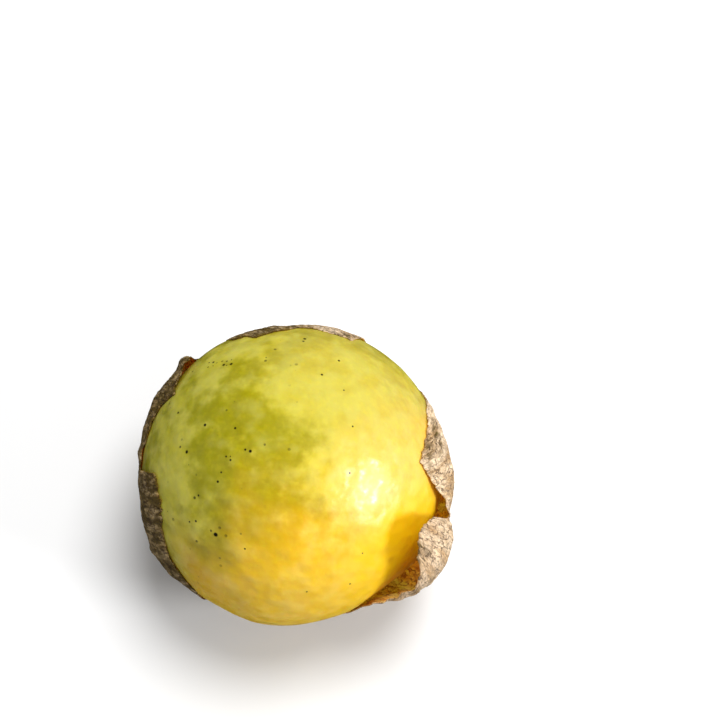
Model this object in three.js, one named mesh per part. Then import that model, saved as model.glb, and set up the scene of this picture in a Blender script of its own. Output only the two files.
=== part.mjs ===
// A ripe tomatillo that has burst its dry husk, with a stub of its stem.
// Millimetres, +Z up. It rests on a small flat patch of husk, and the origin is on that patch, straight
// below the fruit's centre. The husk's torn opening faces up and a little to the front (-Y).
import * as THREE from "three";

// Fruit: a ball, slightly flattened from its stem end to its blossom end.
const FRUIT_RADIUS = 30.1;
const FRUIT_HALF_DEPTH = 27.4;
const STEM_LEAN_DEG = 30; // from straight down to the stem end
const STEM_HEADING_DEG = 135; // from +X to the side that the stem end leans to
const DIMPLE_DEPTH = 1.6;
const DIMPLE_WIDTH_DEG = 13;

// Husk: a dry papery cup that follows the fruit and stands off it towards the torn rim.
const OPENING_LEAN_DEG = 16; // from straight up to the middle of the opening
const HUSK_WALL = 0.5;
const HUSK_GAP = 0.35;
const FLARE_START_DEG = 135; // the stand-off grows from here, as an angle from the opening's middle
const SHOULDER_DEG = 90; // and reaches the shoulder here, where the husk is widest

// How far the round base is pressed flat where it rests.
const SEAT_PRESS = 1.1;

// Stem stub: it leaves the husk at its base and bends to lie along the surface.
const STEM_RADIUS = 1.4;
const STEM_CLEARANCE = 0.5; // between the husk's base and the stub's end face
const STEM_REACH = 11.5;
const STEM_FLOOR_GAP = 0.35;

// Mesh fineness.
const FRUIT_COLUMNS = 48;
const FRUIT_ROWS = 32;
const HUSK_COLUMNS = 72;
const HUSK_ROWS = 20;
const STEM_SIDES = 12;
const STEM_STEPS = 14;

// Broad swellings and flats of the fruit: around and away are degrees in the opening's frame, width is
// in degrees, and height is in millimetres.
const SWELLINGS = [
  { around: 172, away: 88, width: 30, height: 0.4 },
  { around: 98, away: 88, width: 16, height: -0.7 },
  { around: 38, away: 88, width: 20, height: 0.15 },
  { around: 15, away: 45, width: 30, height: 0.3 },
  { around: 344, away: 87, width: 11, height: -0.6 },
  { around: 308, away: 88, width: 12, height: -1.5 },
  { around: 286, away: 90, width: 18, height: -0.8 },
  { around: 242, away: 90, width: 9, height: -0.4 },
];

// The torn rim, once round the opening: degrees around, degrees away from the opening's middle, and how
// far the husk stands off the fruit at its shoulder and at the rim, in millimetres.
const RIM = [
  [1, 60.6, 1.5, 0.5],
  [6.5, 56.6, 1.2, 0.2],
  [12, 61, 0.9, 0.1],
  [19.5, 67.5, 0.6, 0],
  [25, 73.5, 0.3, 0],
  [29, 82, 0, 0],
  [35, 98, 0, 0],
  [50, 101, 0, 0],
  [57, 99, 0, 0],
  [63, 86, 0, 0],
  [68, 74, 0, 0],
  [74, 71, 0, 0],
  [84, 74.4, 0.1, 0],
  [94, 70.8, 0.1, 0],
  [106, 66.4, 0.2, 0],
  [112, 73, 0.1, 0],
  [118, 85, 0, 0],
  [125, 97, 0, 0],
  [130, 86, 0.8, 0.7],
  [134, 74, 1.6, 1.3],
  [139, 72.8, 1.1, 0.3],
  [146.3, 66, 1.2, 0],
  [152, 72.4, 1.4, 0],
  [163, 75, 1.2, 0],
  [174, 78, 0.6, 0],
  [179, 70, 0.4, 0],
  [183, 60, 0.4, 0],
  [186, 59.4, 0.4, 0],
  [192, 58.4, 0.7, 0],
  [201, 62.8, 1.1, 0],
  [209, 68.2, 1.3, 0],
  [217, 72.4, 1.2, 0],
  [225, 75.5, 0.4, 0],
  [230, 78, 0.1, 0],
  [235, 90, 0, 0],
  [250, 107, 0, 0],
  [270, 112, 0, 0],
  [285, 104, 0, 0],
  [293, 92, 0, 0],
  [296, 82, 0.1, 0.2],
  [302, 75, 0.6, 1.2],
  [306, 71.5, 1.3, 2.4],
  [311, 68, 2.6, 4.2],
  [317, 64.2, 3.8, 5.8],
  [321, 60, 4.2, 6.1],
  [326.4, 52.8, 4.6, 6.1],
  [330, 49.8, 4.7, 5.9],
  [335, 48.4, 4.2, 5.8],
  [342, 51.6, 2.8, 5.3],
  [344.5, 74, 2.2, 2.8],
  [347, 76.5, 2.2, 2.2],
  [351, 72, 2.1, 1.5],
  [355, 65.5, 1.9, 0.8],
];

const radians = THREE.MathUtils.degToRad;
const degrees = THREE.MathUtils.radToDeg;

const OPENING_AXIS = new THREE.Vector3(
  0,
  -Math.sin(radians(OPENING_LEAN_DEG)),
  Math.cos(radians(OPENING_LEAN_DEG)),
);
const OPENING_RIGHT = new THREE.Vector3(1, 0, 0);
const OPENING_UP = new THREE.Vector3().crossVectors(OPENING_AXIS, OPENING_RIGHT);

const STEM_AXIS = new THREE.Vector3(
  Math.sin(radians(STEM_LEAN_DEG)) * Math.cos(radians(STEM_HEADING_DEG)),
  Math.sin(radians(STEM_LEAN_DEG)) * Math.sin(radians(STEM_HEADING_DEG)),
  -Math.cos(radians(STEM_LEAN_DEG)),
);

// The leaning fruit's lowest point is this far below its centre, before its base is pressed flat.
const FRUIT_DROP = Math.hypot(
  FRUIT_RADIUS * Math.sin(radians(STEM_LEAN_DEG)),
  FRUIT_HALF_DEPTH * Math.cos(radians(STEM_LEAN_DEG)),
);
const CENTRE = new THREE.Vector3(0, 0, FRUIT_DROP + HUSK_GAP + HUSK_WALL - SEAT_PRESS);

// The unit vector at an angle around and an angle away from the opening's middle, both in degrees.
function facing(aroundDeg, awayDeg) {
  const flat = Math.sin(radians(awayDeg));
  return new THREE.Vector3()
    .addScaledVector(OPENING_RIGHT, flat * Math.cos(radians(aroundDeg)))
    .addScaledVector(OPENING_UP, flat * Math.sin(radians(aroundDeg)))
    .addScaledVector(OPENING_AXIS, Math.cos(radians(awayDeg)));
}

const swellings = SWELLINGS.map((swelling) => ({
  axis: facing(swelling.around, swelling.away),
  width: swelling.width,
  height: swelling.height,
}));

// A bell that is 1 on the axis and fades over about the given width.
function bell(direction, axis, widthDeg) {
  const off = degrees(direction.angleTo(axis));
  return Math.exp(-((off / widthDeg) ** 2));
}

function fruitRadius(direction) {
  const along = direction.dot(STEM_AXIS) / FRUIT_HALF_DEPTH;
  const across = Math.sqrt(1 - direction.dot(STEM_AXIS) ** 2) / FRUIT_RADIUS;
  let radius = 1 / Math.hypot(along, across);
  radius -= DIMPLE_DEPTH * bell(direction, STEM_AXIS, DIMPLE_WIDTH_DEG);
  for (const swelling of swellings) {
    radius += swelling.height * bell(direction, swelling.axis, swelling.width);
  }
  return radius;
}

// The point at a radius in a direction from the fruit's centre, pressed up to a floor height.
function placed(direction, radius, floor) {
  const point = CENTRE.clone().addScaledVector(direction, radius);
  point.z = Math.max(point.z, floor);
  return point;
}

// The rim's angle away from the opening and its stand-offs, smoothly between the points of RIM.
function rimAt(aroundDeg) {
  const later = RIM.findIndex((point) => point[0] > aroundDeg);
  const next = RIM[Math.max(later, 0)];
  const last = RIM.at(later < 0 ? -1 : later - 1);
  const span = (next[0] - last[0] + 360) % 360;
  const turned = (aroundDeg - last[0] + 360) % 360;
  const t = THREE.MathUtils.smoothstep(turned / span, 0, 1);
  const [, away, shoulder, edge] = last.map((value, i) => THREE.MathUtils.lerp(value, next[i], t));
  return { away, shoulder, edge };
}

// How far the husk stands off the fruit at an angle away from the opening, in a column with this rim.
function huskStandOff(rim, awayDeg) {
  if (awayDeg > SHOULDER_DEG || rim.away >= SHOULDER_DEG) {
    return rim.shoulder * (1 - THREE.MathUtils.smoothstep(awayDeg, SHOULDER_DEG, FLARE_START_DEG));
  }
  const past = (SHOULDER_DEG - awayDeg) / (SHOULDER_DEG - rim.away);
  return THREE.MathUtils.lerp(rim.shoulder, rim.edge, past);
}

function material(color, roughness) {
  return new THREE.MeshStandardMaterial({ color, roughness, metalness: 0 });
}

function namedMesh(name, geometry, finish) {
  geometry.computeVertexNormals();
  const mesh = new THREE.Mesh(geometry, finish);
  mesh.name = name;
  return mesh;
}

// The fruit's base follows the pressed husk under it.
function fruit() {
  const geometry = new THREE.SphereGeometry(1, FRUIT_COLUMNS, FRUIT_ROWS);
  geometry.rotateX(Math.PI / 2);
  const points = geometry.getAttribute("position");
  const direction = new THREE.Vector3();
  for (let i = 0; i < points.count; i += 1) {
    direction.fromBufferAttribute(points, i).normalize();
    const point = placed(direction, fruitRadius(direction), HUSK_WALL + HUSK_GAP);
    points.setXYZ(i, point.x, point.y, point.z);
  }
  return namedMesh("fruit", geometry, material(0xd9c53a, 0.35));
}

// The husk is a lathe from the middle of its outside, over the rim, to the middle of its inside, and
// each of its columns ends at the rim there.
function husk() {
  const profile = [];
  for (let row = 0; row <= HUSK_ROWS; row += 1) {
    profile.push({ row, outside: true });
  }
  for (let row = HUSK_ROWS; row >= 0; row -= 1) {
    profile.push({ row, outside: false });
  }
  const outline = profile.map((step, i) => {
    const onAxis = i === 0 || i === profile.length - 1;
    return new THREE.Vector2(onAxis ? 0 : 1, i);
  });
  const geometry = new THREE.LatheGeometry(outline, HUSK_COLUMNS);
  const points = geometry.getAttribute("position");
  for (let i = 0; i < points.count; i += 1) {
    const column = Math.floor(i / profile.length) % HUSK_COLUMNS;
    const step = profile[i % profile.length];
    const around = (360 * column) / HUSK_COLUMNS;
    const rim = rimAt(around);
    const away = THREE.MathUtils.lerp(180, rim.away, step.row / HUSK_ROWS);
    const direction = facing(around, away);
    const inside = fruitRadius(direction) + HUSK_GAP + huskStandOff(rim, away);
    const point = step.outside
      ? placed(direction, inside + HUSK_WALL, 0)
      : placed(direction, inside, HUSK_WALL);
    points.setXYZ(i, point.x, point.y, point.z);
  }
  return namedMesh("husk", geometry, material(0xb49a6a, 0.85));
}

// The stub starts at the husk's base, in the dimple, and its free end lies just above the surface.
function stem() {
  const base = fruitRadius(STEM_AXIS) + HUSK_GAP + HUSK_WALL + STEM_CLEARANCE;
  const start = CENTRE.clone().addScaledVector(STEM_AXIS, base);
  const heading = new THREE.Vector3(
    Math.cos(radians(STEM_HEADING_DEG)),
    Math.sin(radians(STEM_HEADING_DEG)),
    0,
  );
  const end = start.clone().addScaledVector(heading, STEM_REACH);
  end.z = STEM_RADIUS + STEM_FLOOR_GAP;
  const bend = new THREE.Vector3(start.x, start.y, end.z).addScaledVector(heading, STEM_RADIUS);
  const section = new THREE.Shape();
  section.absarc(0, 0, STEM_RADIUS, 0, 2 * Math.PI, false);
  const geometry = new THREE.ExtrudeGeometry(section, {
    curveSegments: STEM_SIDES,
    steps: STEM_STEPS,
    bevelEnabled: false,
    extrudePath: new THREE.QuadraticBezierCurve3(start, bend, end),
  });
  return namedMesh("stem", geometry, material(0x7d6b3e, 0.8));
}

const tomatillo = new THREE.Group();
tomatillo.add(fruit(), husk(), stem());

export default tomatillo;
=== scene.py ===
"""A ripe tomatillo that has burst its dry papery husk, with a stub of its stem."""
import bisect
import math

import bmesh
import bpy
from mathutils import Matrix, Vector, noise


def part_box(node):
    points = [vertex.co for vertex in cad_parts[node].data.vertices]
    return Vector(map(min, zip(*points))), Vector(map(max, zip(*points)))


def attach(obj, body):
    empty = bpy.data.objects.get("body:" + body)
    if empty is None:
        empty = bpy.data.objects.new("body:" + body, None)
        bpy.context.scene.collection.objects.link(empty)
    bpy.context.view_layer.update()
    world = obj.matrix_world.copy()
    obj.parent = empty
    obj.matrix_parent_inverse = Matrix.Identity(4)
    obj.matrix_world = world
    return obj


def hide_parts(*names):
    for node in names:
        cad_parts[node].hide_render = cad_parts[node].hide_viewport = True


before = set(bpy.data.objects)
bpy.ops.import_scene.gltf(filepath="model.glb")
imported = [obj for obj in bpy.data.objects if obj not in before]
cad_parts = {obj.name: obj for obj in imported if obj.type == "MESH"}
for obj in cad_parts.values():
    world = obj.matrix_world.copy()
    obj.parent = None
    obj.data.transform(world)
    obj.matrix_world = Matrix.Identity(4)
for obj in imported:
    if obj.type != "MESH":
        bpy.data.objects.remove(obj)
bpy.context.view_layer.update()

# ---------------------------------------------------------------- sizes, in millimetres and degrees
MM = 0.001
MERGE_GAP = 0.002  # vertices nearer than this are merged

FRUIT_RADIUS = 30.1
FRUIT_HALF_DEPTH = 27.4
STEM_LEAN = 30
STEM_HEADING = 135
DIMPLE_DEPTH = 1.6
DIMPLE_WIDTH = 13
OPENING_LEAN = 16

HUSK_WALL = 0.2
HUSK_HUG = 0.45  # the husk's outside above the skin, where it clings to the fruit
HUSK_BELLY = 135  # from the opening's middle to where the husk starts to stand off the skin
HUSK_SHOULDER = 90  # from the opening's middle to where it turns in over the fruit
HUSK_LIP = 8  # the least turn over which its gap changes from the shoulder's to the rim's

# Heights of the flats pressed into the base.
SEAT_HUSK = 0.0
SEAT_FRUIT = 0.5

# Broad swellings and flats of the fruit: degrees around the opening, degrees away from its middle,
# width in degrees, height in millimetres.
SWELLINGS = [
    (172, 88, 30, 0.4),
    (98, 88, 16, -0.7),
    (38, 88, 20, 0.15),
    (15, 45, 30, 0.3),
    (344, 87, 11, -0.6),
    (308, 88, 11, -1.7),
    (286, 90, 18, -0.8),
    (242, 90, 9, -0.4),
]

# How far the husk stands off the skin: degrees around, at its shoulder, at its torn rim.
STAND_OFF = [
    (0, 1.9, 0.6),
    (8, 1.4, 0.35),
    (16, 1.0, 0.35),
    (27, 0.4, 0.35),
    (70, 0.3, 0.3),
    (76, 0.3, 0.3),
    (82, 0.4, 0.4),
    (92, 0.4, 0.35),
    (104, 0.5, 0.4),
    (115, 0.4, 0.35),
    (128, 0.6, 0.6),
    (134, 2.3, 1.9),
    (140, 1.6, 0.7),
    (150, 1.9, 0.4),
    (160, 1.7, 0.4),
    (170, 1.25, 0.4),
    (178, 0.85, 0.5),
    (186, 0.8, 0.35),
    (200, 1.5, 0.35),
    (212, 1.9, 0.35),
    (217, 1.7, 0.35),
    (224, 0.9, 0.35),
    (232, 0.4, 0.35),
    (285, 0.4, 0.4),
    (296, 0.5, 0.6),
    (301, 0.9, 1.4),
    (306, 1.7, 2.9),
    (311, 3.1, 4.7),
    (317, 4.3, 6.3),
    (323, 4.7, 6.6),
    (330, 5.2, 6.4),
    (337, 4.5, 6.3),
    (342, 3.2, 5.8),
    (344.5, 2.6, 3.4),
    (349, 2.6, 2.2),
    (355, 2.3, 1.2),
]

# The torn rim, once round: degrees around the opening, degrees away from its middle.
RIM = [
    (1, 60.6),
    (4, 58.2),
    (6.5, 56.6),
    (9, 57.8),
    (12, 61),
    (15, 64),
    (19.5, 67.5),
    (25, 73.5),
    (29, 82),
    (35, 98),
    (50, 101),
    (61, 98),
    (67, 72),
    (73, 70.5),
    (78, 72),
    (84, 74.4),
    (89, 73.4),
    (94, 70.8),
    (99, 69),
    (103, 67.4),
    (106, 66.4),
    (110, 72.5),
    (115, 73.5),
    (118, 94),
    (131, 96),
    (132.3, 70.5),
    (135.5, 73.5),
    (139, 72.8),
    (143, 69.3),
    (146.3, 65.6),
    (149, 69.3),
    (152, 72.4),
    (157, 74.6),
    (163, 75),
    (170, 76.6),
    (175, 78),
    (178, 80),
    (179.2, 62.4),
    (180.4, 59.8),
    (185, 59.4),
    (189, 59.4),
    (192, 58.4),
    (196, 60.2),
    (201, 62.8),
    (205, 65.4),
    (209, 68.2),
    (213, 71.2),
    (219, 73),
    (225, 75.5),
    (230, 78),
    (235, 90),
    (250, 107),
    (270, 112),
    (285, 104),
    (293, 92),
    (296, 82),
    (302, 75),
    (306, 71.5),
    (311, 68),
    (317, 64.2),
    (318.6, 62.6),
    (321, 60),
    (323.3, 56.8),
    (326.4, 52.8),
    (330, 49.8),
    (334.4, 48.4),
    (339, 49.6),
    (342, 51.6),
    (343.3, 57),
    (344.2, 72),
    (346, 77.5),
    (348, 75.2),
    (350.7, 72.5),
    (354.2, 66.8),
    (357.2, 62.4),
]

# ---------------------------------------------------------------- the shared shape


def heading(degrees):
    """The level unit vector at an angle round from +X."""
    return Vector((math.cos(math.radians(degrees)), math.sin(math.radians(degrees)), 0))


OPENING_AXIS = Vector(
    (0, -math.sin(math.radians(OPENING_LEAN)), math.cos(math.radians(OPENING_LEAN)))
)
OPENING_RIGHT = Vector((1, 0, 0))
OPENING_UP = OPENING_AXIS.cross(OPENING_RIGHT)
STEM_AXIS = heading(STEM_HEADING) * math.sin(math.radians(STEM_LEAN))
STEM_AXIS.z = -math.cos(math.radians(STEM_LEAN))
STEM_SIDE = STEM_AXIS.cross(Vector((0, 1, 0))).normalized()
STEM_TURN = STEM_AXIS.cross(STEM_SIDE)

# The fruit's top is as far above its centre as its leaning, flattened ball reaches.
FRUIT_RISE = math.hypot(
    FRUIT_RADIUS * math.sin(math.radians(STEM_LEAN)),
    FRUIT_HALF_DEPTH * math.cos(math.radians(STEM_LEAN)),
)
CENTRE = Vector((0, 0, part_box("fruit")[1].z / MM - FRUIT_RISE))


def facing(around, away):
    """The unit vector at an angle around the opening and an angle away from its middle."""
    flat = math.sin(math.radians(away))
    across = OPENING_RIGHT * math.cos(math.radians(around))
    up = OPENING_UP * math.sin(math.radians(around))
    return (across + up) * flat + OPENING_AXIS * math.cos(math.radians(away))


def smooth(value, start, end):
    """0 at start, 1 at end, with an easy curve between."""
    t = min(max((value - start) / (end - start), 0), 1)
    return t * t * (3 - 2 * t)


def mix(low, high, t):
    """The value a share t of the way from low to high."""
    return low + (high - low) * t


def off_axis(direction, axis):
    """The angle between two unit vectors, in degrees."""
    return math.degrees(math.acos(min(max(direction.dot(axis), -1), 1)))


def ring(table, around):
    """The values of a table at an angle around, eased between its rows."""
    around %= 360
    after = bisect.bisect_right([row[0] for row in table], around)
    last = table[after - 1]
    following = table[after % len(table)]
    turned = (around - last[0]) % 360
    t = smooth(turned, 0, (following[0] - last[0]) % 360)
    return [mix(a, b, t) for a, b in zip(last[1:], following[1:])]


def uneven(place, waves):
    """Noise at a place, added up from rows of a height and how fast it changes."""
    return sum(height * noise.noise(place * speed) for height, speed in waves)


swelling_axes = [(facing(around, away), width, height) for around, away, width, height in SWELLINGS]


def fruit_radius(direction):
    """The fruit's radius from its centre, in millimetres."""
    along = direction.dot(STEM_AXIS)
    across = math.sqrt(max(1 - along * along, 0))
    radius = 1 / math.hypot(along / FRUIT_HALF_DEPTH, across / FRUIT_RADIUS)
    radius -= DIMPLE_DEPTH * math.exp(-((off_axis(direction, STEM_AXIS) / DIMPLE_WIDTH) ** 2))
    for axis, width, height in swelling_axes:
        radius += height * math.exp(-((off_axis(direction, axis) / width) ** 2))
    return radius


def placed(direction, radius, seat):
    """The point in metres at a radius in a direction, pressed up to the height of its seat."""
    point = CENTRE + direction * radius
    point.z = max(point.z, seat)
    return point * MM


def closed_up(bm):
    """Joins the seams and poles of a bmesh and turns its faces outwards."""
    bmesh.ops.remove_doubles(bm, verts=bm.verts, dist=MERGE_GAP * MM)
    bmesh.ops.recalc_face_normals(bm, faces=bm.faces)


def finished(name, bm, finishes, replaces):
    """Turns a bmesh into a piece that rides on the root body and stands for a CAD node."""
    mesh = bpy.data.meshes.new(name)
    bm.to_mesh(mesh)
    bm.free()
    mesh.shade_smooth()
    for finish in finishes:
        mesh.materials.append(finish)
    piece = bpy.data.objects.new(name, mesh)
    bpy.context.scene.collection.objects.link(piece)
    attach(piece, "root")
    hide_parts(replaces)
    return piece


# ---------------------------------------------------------------- material helpers


def rgb(red, green, blue):
    """A colour from display values of 0 to 255, as the shaders' linear RGBA."""
    def linear(value):
        share = value / 255
        return share / 12.92 if share <= 0.04045 else ((share + 0.055) / 1.055) ** 2.4

    return (linear(red), linear(green), linear(blue), 1)


def node(tree, kind, inputs=None, **settings):
    """Adds a shader node; an input may be a value or another node's output."""
    made = tree.nodes.new("ShaderNode" + kind)
    for name, value in settings.items():
        setattr(made, name, value)
    for name, value in (inputs or {}).items():
        if isinstance(value, bpy.types.NodeSocket):
            tree.links.new(value, made.inputs[name])
        else:
            made.inputs[name].default_value = value
    return made


def math_node(tree, operation, first, second=0.0):
    """One step of arithmetic."""
    return node(tree, "Math", {0: first, 1: second}, operation=operation).outputs[0]


def times(tree, first, second):
    return math_node(tree, "MULTIPLY", first, second)


def plus(tree, first, second):
    return math_node(tree, "ADD", first, second)


def most(tree, first, second):
    return math_node(tree, "MAXIMUM", first, second)


def without(tree, share, taken):
    """A share, less another part of it."""
    return math_node(tree, "SUBTRACT", share, taken)


def fade(tree, value, start, end):
    """0 where the value is at start, 1 where it is at end."""
    inputs = {"Value": value, "From Min": start, "From Max": end}
    made = node(tree, "MapRange", inputs, interpolation_type="SMOOTHSTEP")
    return made.outputs["Result"]


def tint(tree, share, low, high):
    """A colour between two colours."""
    inputs = {0: share, 6: low, 7: high}
    return node(tree, "Mix", inputs, data_type="RGBA").outputs[2]


def clouds(tree, place, scale, detail=3.0, rough=0.5):
    """Soft noise from 0 to 1 with about scale lumps in each millimetre."""
    inputs = {"Vector": place, "Scale": scale, "Detail": detail, "Roughness": rough}
    return node(tree, "TexNoise", inputs).outputs[0]


def new_finish(name, **shader_values):
    """A material with one Principled shader; values the same all over are set on its sockets."""
    finish = bpy.data.materials.new(name)
    finish.use_nodes = True
    tree = finish.node_tree
    shader = tree.nodes["Principled BSDF"]
    for socket, value in shader_values.items():
        shader.inputs[socket.replace("_", " ")].default_value = value
    return finish, tree, shader


def millimetres(tree):
    """Each point's place from the fruit's centre, in millimetres."""
    coordinates = node(tree, "TexCoord").outputs["Object"]
    scaled = node(tree, "VectorMath", {0: coordinates, "Scale": 1 / MM}, operation="SCALE")
    return node(tree, "VectorMath", {0: scaled.outputs[0], 1: CENTRE}, operation="SUBTRACT").outputs[0]


def outward(tree, place):
    """The unit vector from the fruit's centre to a place."""
    return node(tree, "VectorMath", {0: place}, operation="NORMALIZE").outputs[0]


def toward(tree, direction, around, away, far, near):
    """1 within near degrees of a direction and 0 beyond far degrees."""
    dot = node(tree, "VectorMath", {0: direction, 1: facing(around, away)}, operation="DOT_PRODUCT")
    return fade(tree, dot.outputs["Value"], math.cos(math.radians(far)), math.cos(math.radians(near)))


def roughened(tree, shader, value, low, high):
    """Lets the shader's roughness run from low to high with a value of 0 to 1."""
    made = node(tree, "MapRange", {"Value": value, "To Min": low, "To Max": high})
    tree.links.new(made.outputs["Result"], shader.inputs["Roughness"])


def bumped(tree, shader, height, depth, normal=None):
    """Gives the shader a bump; depth is in millimetres for a height of 1."""
    inputs = {"Height": height, "Distance": depth * MM, "Strength": 1.0}
    if normal is not None:
        inputs["Normal"] = normal
    made = node(tree, "Bump", inputs).outputs["Normal"]
    tree.links.new(made, shader.inputs["Normal"])
    return made


# ---------------------------------------------------------------- fruit

FRUIT_FINENESS = 7
FRUIT_UNEVEN = [(0.16, 3.1), (0.045, 9.0)]  # heights, and how fast each changes

# Dark corky specks: degrees around the opening, degrees away from its middle, radius in millimetres.
SPECKS = [
    (217, 39, 0.42),
    (123, 56.5, 0.28),
    (120, 54.5, 0.3),
    (121, 57.5, 0.18),
    (119, 56.8, 0.14),
    (122, 55.2, 0.14),
    (126, 62.5, 0.26),
    (127.5, 64.5, 0.18),
    (129, 62, 0.18),
    (125, 60.5, 0.14),
    (127, 60.2, 0.12),
    (152, 56.5, 0.24),
    (151, 40.5, 0.28),
    (142, 29, 0.22),
    (168, 44, 0.32),
    (185, 29.5, 0.24),
    (178, 28, 0.18),
    (152, 19, 0.28),
    (153, 21, 0.2),
    (165, 27, 0.18),
    (167, 25, 0.2),
    (164, 25.4, 0.13),
    (205, 43.5, 0.24),
    (204, 46.5, 0.18),
    (192, 38.5, 0.2),
    (236, 35, 0.18),
    (86, 62, 0.3),
    (86.5, 60, 0.22),
    (75, 42.5, 0.22),
    (69, 53, 0.24),
    (60, 40, 0.17),
    (40, 30, 0.17),
    (2, 21.5, 0.2),
    (297, 54, 0.18),
    (276, 50, 0.18),
    (311, 44, 0.16),
]

# Soft patches under the wax, one of them painted highlight: degrees around, degrees away, how wide in
# degrees, and how far each turns the skin deep (below 0) or milky (above 0).
PATCHES_AND_PAINTED_HIGHLIGHT = [
    (126, 39, 16, -0.45),
    (103, 15, 9, -0.3),
    (172, 20, 17, -0.5),
    (200, 30, 11, -0.3),
    (240, 29, 12, -0.25),
    (232, 50, 13, -0.35),
    (226, 46, 10, -0.2),
    (268, 24, 15, -0.3),
    (285, 44, 22, -0.15),
    (195, 52, 14, 0.35),
    (176, 55, 10, 0.2),
    (99, 33, 9, 0.3),
    (118, 56, 16, 0.3),
    (90, 52, 14, -0.25),
    (236, 57, 14, -0.45),
    (64, 34, 20, 0.25),
    (20, 42, 22, 0.25),
    # painted highlight: a milky patch under the key light's highlight
    (350, 30, 20, 0.35),
]


# Broad tints of the skin, two of them painted light and shade: degrees around, degrees away, where each
# starts and is full in degrees from there, its strength and its colour.
SKIN_TINTS_AND_PAINTED_LIGHT = [
    (166, 74, 58, 15, 0.5, rgb(128, 134, 10)),
    (226, 47, 13, 3, 0.5, rgb(128, 134, 10)),
    # painted light: a lighter gold on the lower front side
    (272, 66, 55, 15, 0.55, rgb(255, 210, 34)),
    (4, 54, 46, 12, 0.5, rgb(246, 184, 96)),
    # painted shade: a darker tint on the upper right
    (60, 50, 42, 12, 0.75, rgb(190, 172, 62)),
]

SKIN = {
    "deep green": rgb(158, 148, 0),
    "deep gold": rgb(232, 176, 0),
    "milky green": rgb(204, 192, 54),
    "milky gold": rgb(244, 198, 40),
    "white green": rgb(202, 196, 92),
    "white gold": rgb(252, 212, 96),
    "flesh": rgb(240, 222, 40),
    # deep gold with a painted glow of light shining through the husk's standing flap
    "ripe": rgb(254, 204, 4),
    "speck": rgb(20, 13, 3),
}


def skin_patches(tree, place, direction):
    """From 0, deep and saturated, to 1, milky: cloudy patches with soft uneven edges, and a painted
    highlight.
    """
    broad = times(tree, clouds(tree, place, 0.15, detail=2.0), 1.3)
    edges = times(tree, clouds(tree, place, 0.27, detail=3.0, rough=0.55), 1.9)
    share = plus(tree, broad, edges)
    for around, away, width, shift in PATCHES_AND_PAINTED_HIGHLIGHT:
        near = toward(tree, direction, around, away, width * 1.5, width * 0.3)
        share = plus(tree, share, times(tree, near, shift))
    return fade(tree, share, 1.1, 2.05)


def corky_specks(tree, place):
    """1 on each of the placed specks."""
    speck = None
    for around, away, radius in SPECKS:
        centre = facing(around, away) * fruit_radius(facing(around, away))
        gap = node(tree, "VectorMath", {0: place, 1: centre}, operation="DISTANCE").outputs["Value"]
        dot = fade(tree, gap, radius * 1.3, radius * 0.7)
        speck = dot if speck is None else most(tree, speck, dot)
    return speck


def fine_flecks(tree, place, direction):
    """A fine scatter of flecks that crowd together here and there on the greener side."""
    cells = node(tree, "TexVoronoi", {"Vector": place, "Scale": 0.7, "Randomness": 1.0})
    pick = node(tree, "SeparateColor", {"Color": cells.outputs["Color"]})
    chosen = math_node(tree, "LESS_THAN", pick.outputs[0], 0.34)
    size = times(tree, pick.outputs[1], 0.15)
    fleck = fade(tree, without(tree, cells.outputs["Distance"], size), 0.12, 0.05)
    crowd = fade(tree, clouds(tree, place, 0.2, detail=2.0), 0.44, 0.58)
    side = toward(tree, direction, 160, 62, 72, 40)
    fleck = times(tree, times(tree, times(tree, fleck, chosen), crowd), side)
    return times(tree, fleck, 0.8)


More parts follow.
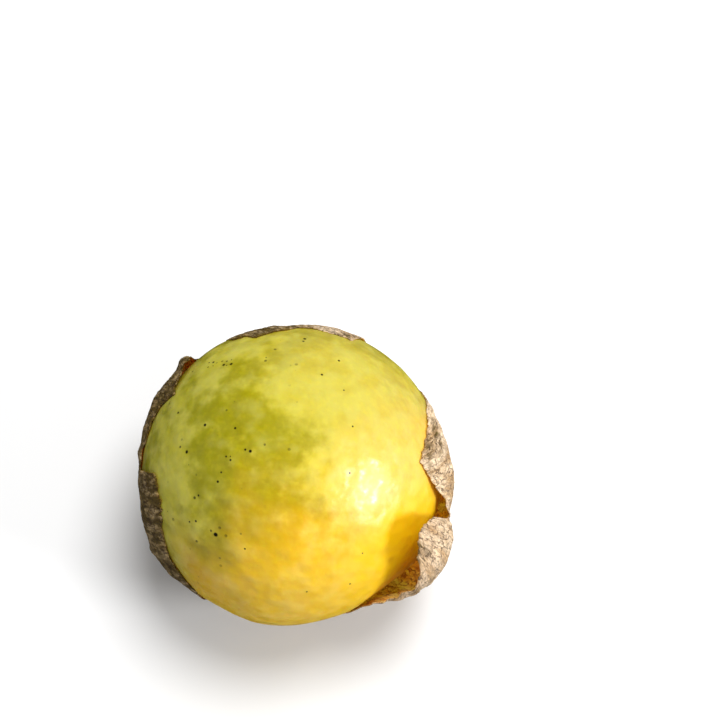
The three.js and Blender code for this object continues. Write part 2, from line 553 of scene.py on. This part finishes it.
def skin_finish():
    """Waxy skin: olive green on one side and golden on the other, cloudy, with dark specks."""
    finish, tree, shader = new_finish(
        "waxy_fruit_skin",
        Subsurface_Weight=0.2,
        Subsurface_Radius=(1.0, 0.6, 0.12),
        Subsurface_Scale=0.003,
        Specular_IOR_Level=0.85,
        Coat_Weight=0.3,
        Coat_Roughness=0.3,
    )
    place = millimetres(tree)
    direction = outward(tree, place)

    # how golden the skin is, with a drifting border towards the green side
    drift = clouds(tree, place, 0.07)
    golden = fade(tree, plus(tree, toward(tree, direction, 298, 82, 118, 8), drift), 0.62, 1.5)
    deep = tint(tree, golden, SKIN["deep green"], SKIN["deep gold"])
    milky = tint(tree, golden, SKIN["milky green"], SKIN["milky gold"])
    share = skin_patches(tree, place, direction)
    colour = tint(tree, share, deep, milky)
    # two of these tints are painted light and shade, not the skin's own colour
    for around, away, far, near, strength, zone_colour in SKIN_TINTS_AND_PAINTED_LIGHT:
        zone = times(tree, toward(tree, direction, around, away, far, near), strength)
        colour = tint(tree, zone, colour, zone_colour)

    # milky blotches under the wax, fewer where the skin is deep
    milk = plus(tree, clouds(tree, place, 0.23, detail=1.8, rough=0.42), times(tree, share, 0.2))
    milk = times(tree, fade(tree, milk, 0.48, 0.78), 0.42)
    whitish = tint(tree, golden, SKIN["white green"], SKIN["white gold"])
    colour = tint(tree, milk, colour, whitish)

    # a faint fine dapple, as flesh shows through, and beside the husk's standing flap a deeper gold with a
    # painted glow of light shining through the flap
    dapple = times(tree, fade(tree, clouds(tree, place, 0.8, detail=2.0), 0.4, 0.75), 0.12)
    colour = tint(tree, dapple, colour, SKIN["flesh"])
    # painted glow: light through the standing flap onto the skin, over a deeper gold
    colour = tint(tree, toward(tree, direction, 322, 70, 38, 20), colour, SKIN["ripe"])
    marks = most(tree, corky_specks(tree, place), fine_flecks(tree, place, direction))
    colour = tint(tree, marks, colour, SKIN["speck"])
    tree.links.new(colour, shader.inputs["Base Color"])

    wax = fade(tree, clouds(tree, place, 0.42), 0.36, 0.64)
    roughened(tree, shader, wax, 0.29, 0.52)
    pores = bumped(tree, shader, clouds(tree, place, 1.4, detail=1.5), 0.018)
    bumped(tree, shader, clouds(tree, place, 0.24, detail=1.5), 0.6, pores)
    return finish


def fruit():
    """A fine ball drawn out to the fruit's own shape, its base pressed into the husk."""
    bm = bmesh.new()
    bmesh.ops.create_icosphere(bm, subdivisions=FRUIT_FINENESS, radius=1)
    for vert in bm.verts:
        direction = vert.co.normalized()
        radius = fruit_radius(direction) + uneven(direction, FRUIT_UNEVEN)
        vert.co = placed(direction, radius, SEAT_FRUIT)
    return finished("ripe_fruit", bm, [skin_finish()], "fruit")


# ---------------------------------------------------------------- husk

HUSK_COLUMNS = 500
HUSK_ROWS = 92
COLUMN_EASE = 12  # neighbours on each side that a column's foot is averaged over
SKIN_GAP = 0.08  # the least room between the husk's inside and the fruit's even shape
RELIEF_SINK = 0.1  # how far the ground between the ribs sinks below the husk's even shape

RIB_COUNT = 10
RIB_HEIGHT = 0.75
RIB_WIDTH = 0.85
RIB_WANDER = 5  # degrees
RIB_FADE = (25, 95)  # degrees from the stem end where the ribs start and stop getting lower
RIB_LEAST = 0.3  # how much of their height is left there
VEIN_SPACING = 2.3
VEIN_HEIGHT = 0.14
VEIN_SPREAD = 0.24  # about how wide a vein is at its foot, as a share of the spacing
GRAIN_STRETCH = 0.6  # how much shorter the grain's map is along the ribs

# Dry-paper relief: its height where the husk clings to the fruit and where it stands free.
BROAD_WAVES = (0.08, 0.35)
LONG_FOLDS = (0.12, 0.3)
CREASES = (0.02, 0.12)
FINE_GRAIN = (0.01, 0.04)
FREE_AT = 2.5  # standing off this far, the husk is free

RAGGED = [(1.2, 9), (1.1, 26), (1.0, 60)]  # degrees of tear, and how fast each changes

HUSK_OUTSIDE = {
    "pale": rgb(244, 214, 178),
    "mid": rgb(196, 158, 112),
    "rib": rgb(222, 188, 142),
    # painted shade for the left side
    "painted_shade": rgb(168, 142, 76),
    "soil": rgb(88, 70, 6),
    "vein": rgb(58, 38, 14),
}
# bright amber: partly the paper's own colour, partly a painted glow of light shining through it
HUSK_INSIDE_WITH_GLOW = {
    "pale": rgb(255, 222, 140),
    "mid": rgb(255, 196, 94),
    # painted shade for the left side
    "rib": rgb(250, 214, 130),
    "painted_shade": rgb(120, 92, 40),
    "soil": rgb(192, 126, 44),
    "vein": rgb(124, 62, 10),
}


def stand_off(around, away):
    """How far the husk's outside stands off the skin, in millimetres."""
    shoulder, edge = ring(STAND_OFF, around)
    if away > HUSK_SHOULDER:
        return mix(shoulder, HUSK_HUG, smooth(away, HUSK_SHOULDER, HUSK_BELLY))
    rim = min(ring(RIM, around)[0], HUSK_SHOULDER - HUSK_LIP)
    return mix(shoulder, edge, min((HUSK_SHOULDER - away) / (HUSK_SHOULDER - rim), 1))


def stem_frame(direction):
    """Degrees round the stem axis and degrees from the stem end."""
    round_stem = math.degrees(math.atan2(direction.dot(STEM_TURN), direction.dot(STEM_SIDE)))
    return round_stem, off_axis(direction, STEM_AXIS)


def husk_grain(direction):
    """A place on the flattened husk, in millimetres, with z along its ribs and shortened that way."""
    round_stem, from_stem = stem_frame(direction)
    flow = heading(round_stem) * FRUIT_RADIUS
    flow.z = math.radians(from_stem) * FRUIT_RADIUS * GRAIN_STRETCH
    return flow


def rib_share(direction):
    """1 along the ribs that run from the stem end, 0 between them; the ribs wander a little."""
    round_stem, from_stem = stem_frame(direction)
    step = 360 / RIB_COUNT
    wander = RIB_WANDER * noise.noise(Vector((round_stem / 40, from_stem / 30, 2.5)))
    off = (round_stem + wander + step / 2) % step - step / 2
    gap = math.radians(off) * FRUIT_RADIUS * math.sin(math.radians(from_stem))
    return math.exp(-((gap / RIB_WIDTH) ** 2)) * mix(1, RIB_LEAST, smooth(from_stem, *RIB_FADE))


def vein_share(grain):
    """1 along the veins of the net between the ribs, 0 in its meshes."""
    near = noise.voronoi(grain / VEIN_SPACING)[0]
    return 1 - smooth(near[1] - near[0], 0, VEIN_SPREAD)


def crumple(direction, grain, loose):
    """Uneven dry-paper relief, deeper where the husk stands free, with folds along the ribs."""
    broad = noise.noise(direction * 4.2 + Vector((7.1, 0, 0)))
    fold = noise.noise(Vector((grain.x * 0.22, grain.y * 0.22, grain.z * 0.09)))
    crease = 1 - abs(noise.noise(direction * 8.5 + Vector((0, 3.3, 0)))) * 2.4
    fine = noise.noise(direction * 24)
    return (
        mix(*BROAD_WAVES, loose) * broad
        + mix(*LONG_FOLDS, loose) * fold
        + mix(*CREASES, loose) * crease
        + mix(*FINE_GRAIN, loose) * fine
    )


def rim_tear(around, away):
    """The rim with its ragged tear, in degrees away from the opening's middle."""
    return away + uneven(heading(around), RAGGED)


def rim_walk(count):
    """Evenly spaced points along the rim, from the rows of RIM, as degrees around and away."""
    corners = [Vector(row) for row in RIM]
    corners.append(corners[0] + Vector((360, 0)))
    lengths = [(b - a).length for a, b in zip(corners, corners[1:])]
    points = []
    for step in range(count):
        left = sum(lengths) * step / count
        side = 0
        while left > lengths[side]:
            left -= lengths[side]
            side += 1
        points.append(corners[side].lerp(corners[side + 1], left / lengths[side]))
    return points


def eased_turns(points, reach):
    """Each rim point's angle around, averaged over its neighbours, so the columns fan out evenly."""
    count = len(points)
    turns = []
    for i in range(count):
        total = 0
        for k in range(-reach, reach + 1):
            laps, j = divmod(i + k, count)
            total += points[j].x + 360 * laps
        turns.append(total / (2 * reach + 1))
    return turns


def stretched(tree, grain, across, along):
    """The husk's own grain, drawn out along its ribs."""
    return node(tree, "VectorMath", {0: grain, 1: (across, across, along)}, operation="MULTIPLY").outputs[0]


def husk_ground(tree, grain, rib, colours):
    """Papery ground with long soft streaks, and paler ribs."""
    streaks = clouds(tree, stretched(tree, grain, 0.3, 0.1), 1.0, detail=4.0, rough=0.6)
    colour = tint(tree, fade(tree, streaks, 0.35, 0.65), colours["mid"], colours["pale"])
    return tint(tree, times(tree, rib, 0.7), colour, colours["rib"])


def husk_soil(tree, place, grain, rib, shade_side):
    """How soiled the husk is: broad soft patches, scuffed off along the fibres and on the ribs, heavier on
    the left side, where the extra is painted shade.
    """
    soil = plus(tree, clouds(tree, place, 0.13), times(tree, shade_side, 0.3))
    soil = fade(tree, soil, 0.5, 0.72)
    scuffed = clouds(tree, stretched(tree, grain, 0.9, 0.5), 1.0, rough=0.6)
    scuffed = fade(tree, scuffed, 0.46, 0.64)
    kept = without(tree, 0.95, times(tree, scuffed, 0.65))
    kept = times(tree, kept, without(tree, 1.0, times(tree, rib, 0.4)))
    return times(tree, soil, kept)


def husk_veins(tree, place, grain, net, rib):
    """1 along short dark veins, where the nets between the ribs haven't worn away."""
    wander = node(tree, "TexNoise", {"Vector": grain, "Scale": 0.8, "Detail": 2.0}).outputs[1]
    worn = clouds(tree, place, 0.75, detail=2.0)

    def broken_net(across, along, width, start, end):
        inputs = {0: wander, 1: (1.4, 1.4, 1.0), 2: stretched(tree, grain, across, along)}
        bent = node(tree, "VectorMath", inputs, operation="MULTIPLY_ADD").outputs[0]
        cells = node(tree, "TexVoronoi", {"Vector": bent, "Scale": 1.0}, feature="DISTANCE_TO_EDGE")
        line = fade(tree, cells.outputs["Distance"], width, width * 0.25)
        return times(tree, line, fade(tree, worn, start, end))

    coarse = broken_net(0.62, 0.42, 0.11, 0.4, 0.54)
    fine = times(tree, broken_net(1.2, 0.7, 0.16, 0.62, 0.4), 0.6)
    veins = most(tree, most(tree, coarse, fine), times(tree, net, 0.3))
    return times(tree, veins, without(tree, 1.0, rib))


def husk_finish(name, colours, rough, thin):
    """Dry calyx: streaked papery ground, pale ribs, broken dark veins, soil, and painted shade on the left
    side.
    """
    finish, tree, shader = new_finish(
        name,
        Specular_IOR_Level=0.3,
        Subsurface_Weight=thin,
        Subsurface_Radius=(1.0, 0.85, 0.6),
        Subsurface_Scale=0.0008,
    )
    place = millimetres(tree)
    grain = node(tree, "Attribute", attribute_name="grain").outputs["Vector"]
    raised = node(tree, "Attribute", attribute_name="veins").outputs["Vector"]
    net, rib, _ = node(tree, "SeparateXYZ", {"Vector": raised}).outputs

    colour = husk_ground(tree, grain, rib, colours)
    # painted shade: darker on the left side, away from the key light, with more soil there
    shade_side = toward(tree, outward(tree, place), 165, 88, 95, 45)
    colour = tint(tree, times(tree, shade_side, 0.6), colour, colours["painted_shade"])
    colour = tint(tree, husk_soil(tree, place, grain, rib, shade_side), colour, colours["soil"])
    fibre = clouds(tree, stretched(tree, grain, 2.2, 0.8), 1.0)
    colour = tint(tree, times(tree, fade(tree, fibre, 0.42, 0.7), 0.35), colour, colours["vein"])
    veins = husk_veins(tree, place, grain, net, rib)
    colour = tint(tree, times(tree, veins, 0.75), colour, colours["vein"])
    tree.links.new(colour, shader.inputs["Base Color"])

    roughened(tree, shader, fibre, rough - 0.1, rough + 0.1)
    paper = bumped(tree, shader, fibre, 0.12)
    bumped(tree, shader, veins, 0.12, paper)
    return finish


def husk():
    """A papery cup whose columns run from its base to a ragged torn rim."""
    points = rim_walk(HUSK_COLUMNS)
    turns = eased_turns(points, COLUMN_EASE)
    bm = bmesh.new()
    bmesh.ops.create_grid(bm, x_segments=HUSK_COLUMNS, y_segments=HUSK_ROWS, size=1)
    grain_layer = bm.verts.layers.float_vector.new("grain")
    vein_layer = bm.verts.layers.float_vector.new("veins")
    for vert in bm.verts:
        column = round((vert.co.x + 1) / 2 * HUSK_COLUMNS) % HUSK_COLUMNS
        t = (vert.co.y + 1) / 2
        rim = points[column]
        around = mix(turns[column], rim.x, t)
        away = mix(180, rim_tear(rim.x, rim.y), t)
        direction = facing(around, away)
        off = stand_off(around, away)
        loose = smooth(off, HUSK_HUG, FREE_AT)
        grain = husk_grain(direction)
        vein = vein_share(grain)
        rib = rib_share(direction)
        off += crumple(direction, grain, loose) + VEIN_HEIGHT * vein + RIB_HEIGHT * rib - RELIEF_SINK
        off = max(off, HUSK_WALL + SKIN_GAP)
        vert.co = placed(direction, fruit_radius(direction) + off, SEAT_HUSK)
        vert[grain_layer] = grain
        vert[vein_layer] = (vein, rib, 0)
    closed_up(bm)
    outside = husk_finish("husk_outside", HUSK_OUTSIDE, 0.72, 0.3)
    inside = husk_finish("husk_inside", HUSK_INSIDE_WITH_GLOW, 0.5, 0.8)
    piece = finished("dry_husk", bm, [outside, inside], "husk")
    wall = piece.modifiers.new("wall", "SOLIDIFY")
    wall.thickness = HUSK_WALL * MM
    wall.offset = -1
    wall.material_offset = 1
    wall.material_offset_rim = 0
    return piece


# ---------------------------------------------------------------- stem

STEM_RADIUS = 1.4
STEM_REACH = 11.5
STEM_JOIN = 0.5  # more reach, as the stalk starts in the husk and its CAD solid clear of it
STEM_SIDES = 40
STEM_RINGS = 48
STEM_RIDGES = 5
RIDGE_TWIST = 2  # radians from end to end
STEM_KNURL = 0.1

# Shares of the stem's radius: its waist, what it gains at the husk and at the cut end, its ridges.
STEM_WAIST = 0.8
STEM_FOOT = 0.7
STEM_KNOB = 0.25
RIDGE_HEIGHT = 0.08

BARK_DARK = rgb(96, 78, 40)
BARK_LIGHT = rgb(158, 134, 80)


def stem_finish():
    """Dry stalk: olive brown with long dark streaks."""
    finish, tree, shader = new_finish("dry_stalk", Specular_IOR_Level=0.3)
    streak = clouds(tree, millimetres(tree), 1.4, detail=5.0, rough=0.7)
    colour = tint(tree, fade(tree, streak, 0.35, 0.65), BARK_DARK, BARK_LIGHT)
    tree.links.new(colour, shader.inputs["Base Color"])
    roughened(tree, shader, streak, 0.65, 0.85)
    bumped(tree, shader, streak, 0.2)
    return finish


def stem_path(t):
    """The stalk's centre line, from the husk's base to the free end, in millimetres."""
    start = CENTRE + STEM_AXIS * (fruit_radius(STEM_AXIS) + HUSK_HUG)
    rest = heading(STEM_HEADING)
    end = start + rest * (STEM_REACH + STEM_JOIN)
    end.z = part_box("stem")[0].z / MM + STEM_RADIUS
    bend = Vector((start.x, start.y, end.z)) + rest * STEM_RADIUS
    return start * (1 - t) ** 2 + bend * 2 * t * (1 - t) + end * t ** 2


def stem_radius(t, turn):
    """The stalk's radius in millimetres, a share t of the way along it and at a turn round it."""
    radius = STEM_RADIUS * (STEM_WAIST + STEM_FOOT * math.exp(-t * 9) + STEM_KNOB * smooth(t, 0.85, 1))
    radius *= 1 + RIDGE_HEIGHT * math.cos(STEM_RIDGES * turn + RIDGE_TWIST * t)
    return radius + STEM_KNURL * noise.noise(Vector((math.cos(turn), math.sin(turn), t * 9)))


def stem():
    """A ridged stub, wider where it joins the husk and at its cut end."""
    bm = bmesh.new()
    bmesh.ops.create_circle(bm, segments=STEM_SIDES, radius=1, cap_ends=True)
    loops = [list(bm.verts)]
    face = bm.faces[:][0]
    for _ in range(STEM_RINGS):
        made = bmesh.ops.extrude_discrete_faces(bm, faces=[face])
        face = made["faces"][0]
        loops.append(list(face.verts))
    for index, verts in enumerate(loops):
        t = index / STEM_RINGS
        centre = stem_path(t)
        ahead = (stem_path(min(t + 0.01, 1)) - stem_path(max(t - 0.01, 0))).normalized()
        side = ahead.cross(Vector((0, 0, 1))).normalized()
        over = side.cross(ahead)
        for k, vert in enumerate(verts):
            turn = 2 * math.pi * k / STEM_SIDES
            radius = stem_radius(t, turn)
            vert.co = (centre + side * radius * math.cos(turn) + over * radius * math.sin(turn)) * MM
            vert.co.z = max(vert.co.z, 0)
    closed_up(bm)
    return finished("cut_stem", bm, [stem_finish()], "stem")


# ---------------------------------------------------------------- floor, light and camera, in metres

FLOOR_SIZE = 4.0
FLOOR_DROP = 0.00005
FLOOR_PALE = (0.86, 0.86, 0.86, 1)
WHITE = (1, 1, 1, 1)
ROOM_LIGHT = 0.36

LIGHT_DISTANCE = 0.7
OVERHEAD_FROM = Vector((0.2, 0.3, 1))
OVERHEAD_SIZE = 0.42
OVERHEAD_WATTS = 5.1
KEY_FROM = facing(-12, 59)
KEY_SIZE = 0.2
KEY_WATTS = 2.8

VIEW_DISTANCE = 0.34
VIEW_LENS = 85
VIEW_NEAR = 0.01
AIM_RIGHT = 0.013
AIM_UP = 0.023


def floor():
    """A plain pale floor just under the husk."""
    bm = bmesh.new()
    bmesh.ops.create_grid(bm, x_segments=1, y_segments=1, size=FLOOR_SIZE / 2)
    mesh = bpy.data.meshes.new("floor")
    bm.to_mesh(mesh)
    bm.free()
    finish, _, shader = new_finish("pale_floor", Roughness=0.9, Specular_IOR_Level=0.0)
    shader.inputs["Base Color"].default_value = FLOOR_PALE
    mesh.materials.append(finish)
    mesh.transform(Matrix.Translation((0, 0, -FLOOR_DROP)))
    made = bpy.data.objects.new("floor", mesh)
    made.visible_glossy = False
    bpy.context.scene.collection.objects.link(made)


def look(thing, place, target, up):
    """Puts a light or camera at a place, pointing at a target, with the given upward direction."""
    back = (place - target).normalized()
    right = up.cross(back).normalized()
    over = back.cross(right)
    rotation = [[right[i], over[i], back[i]] for i in range(3)]
    thing.matrix_world = Matrix.Translation(place) @ Matrix(rotation).to_4x4()


def softbox(name, direction, size, power, mirrored):
    """A round soft light; one that isn't mirrored leaves no reflection of itself."""
    data = bpy.data.lights.new(name, "AREA")
    data.shape = "DISK"
    data.size = size
    data.energy = power
    made = bpy.data.objects.new(name, data)
    made.visible_glossy = mirrored
    bpy.context.scene.collection.objects.link(made)
    middle = CENTRE * MM
    look(made, middle + direction.normalized() * LIGHT_DISTANCE, middle, Vector((0, 1, 0.01)))


def studio():
    """Even pale room light, a broad light overhead and a smaller key light from low on the right."""
    scene = bpy.context.scene
    world = bpy.data.worlds.new("studio")
    scene.world = world
    world.use_nodes = True
    background = world.node_tree.nodes["Background"]
    background.inputs["Color"].default_value = WHITE
    background.inputs["Strength"].default_value = ROOM_LIGHT
    world.cycles_visibility.glossy = False
    softbox("overhead", OVERHEAD_FROM, OVERHEAD_SIZE, OVERHEAD_WATTS, mirrored=False)
    softbox("key", KEY_FROM, KEY_SIZE, KEY_WATTS, mirrored=True)
    scene.view_settings.view_transform = "Standard"


def camera():
    """A camera on the opening's axis, aimed up and to the right of the fruit."""
    data = bpy.data.cameras.new("camera")
    data.lens = VIEW_LENS
    data.clip_start = VIEW_NEAR
    made = bpy.data.objects.new("camera", data)
    bpy.context.scene.collection.objects.link(made)
    middle = CENTRE * MM
    place = middle + OPENING_AXIS * VIEW_DISTANCE
    target = middle + OPENING_RIGHT * AIM_RIGHT + OPENING_UP * AIM_UP
    look(made, place, target, OPENING_UP)
    bpy.context.scene.camera = made


floor()
studio()
camera()
fruit()
husk()
stem()
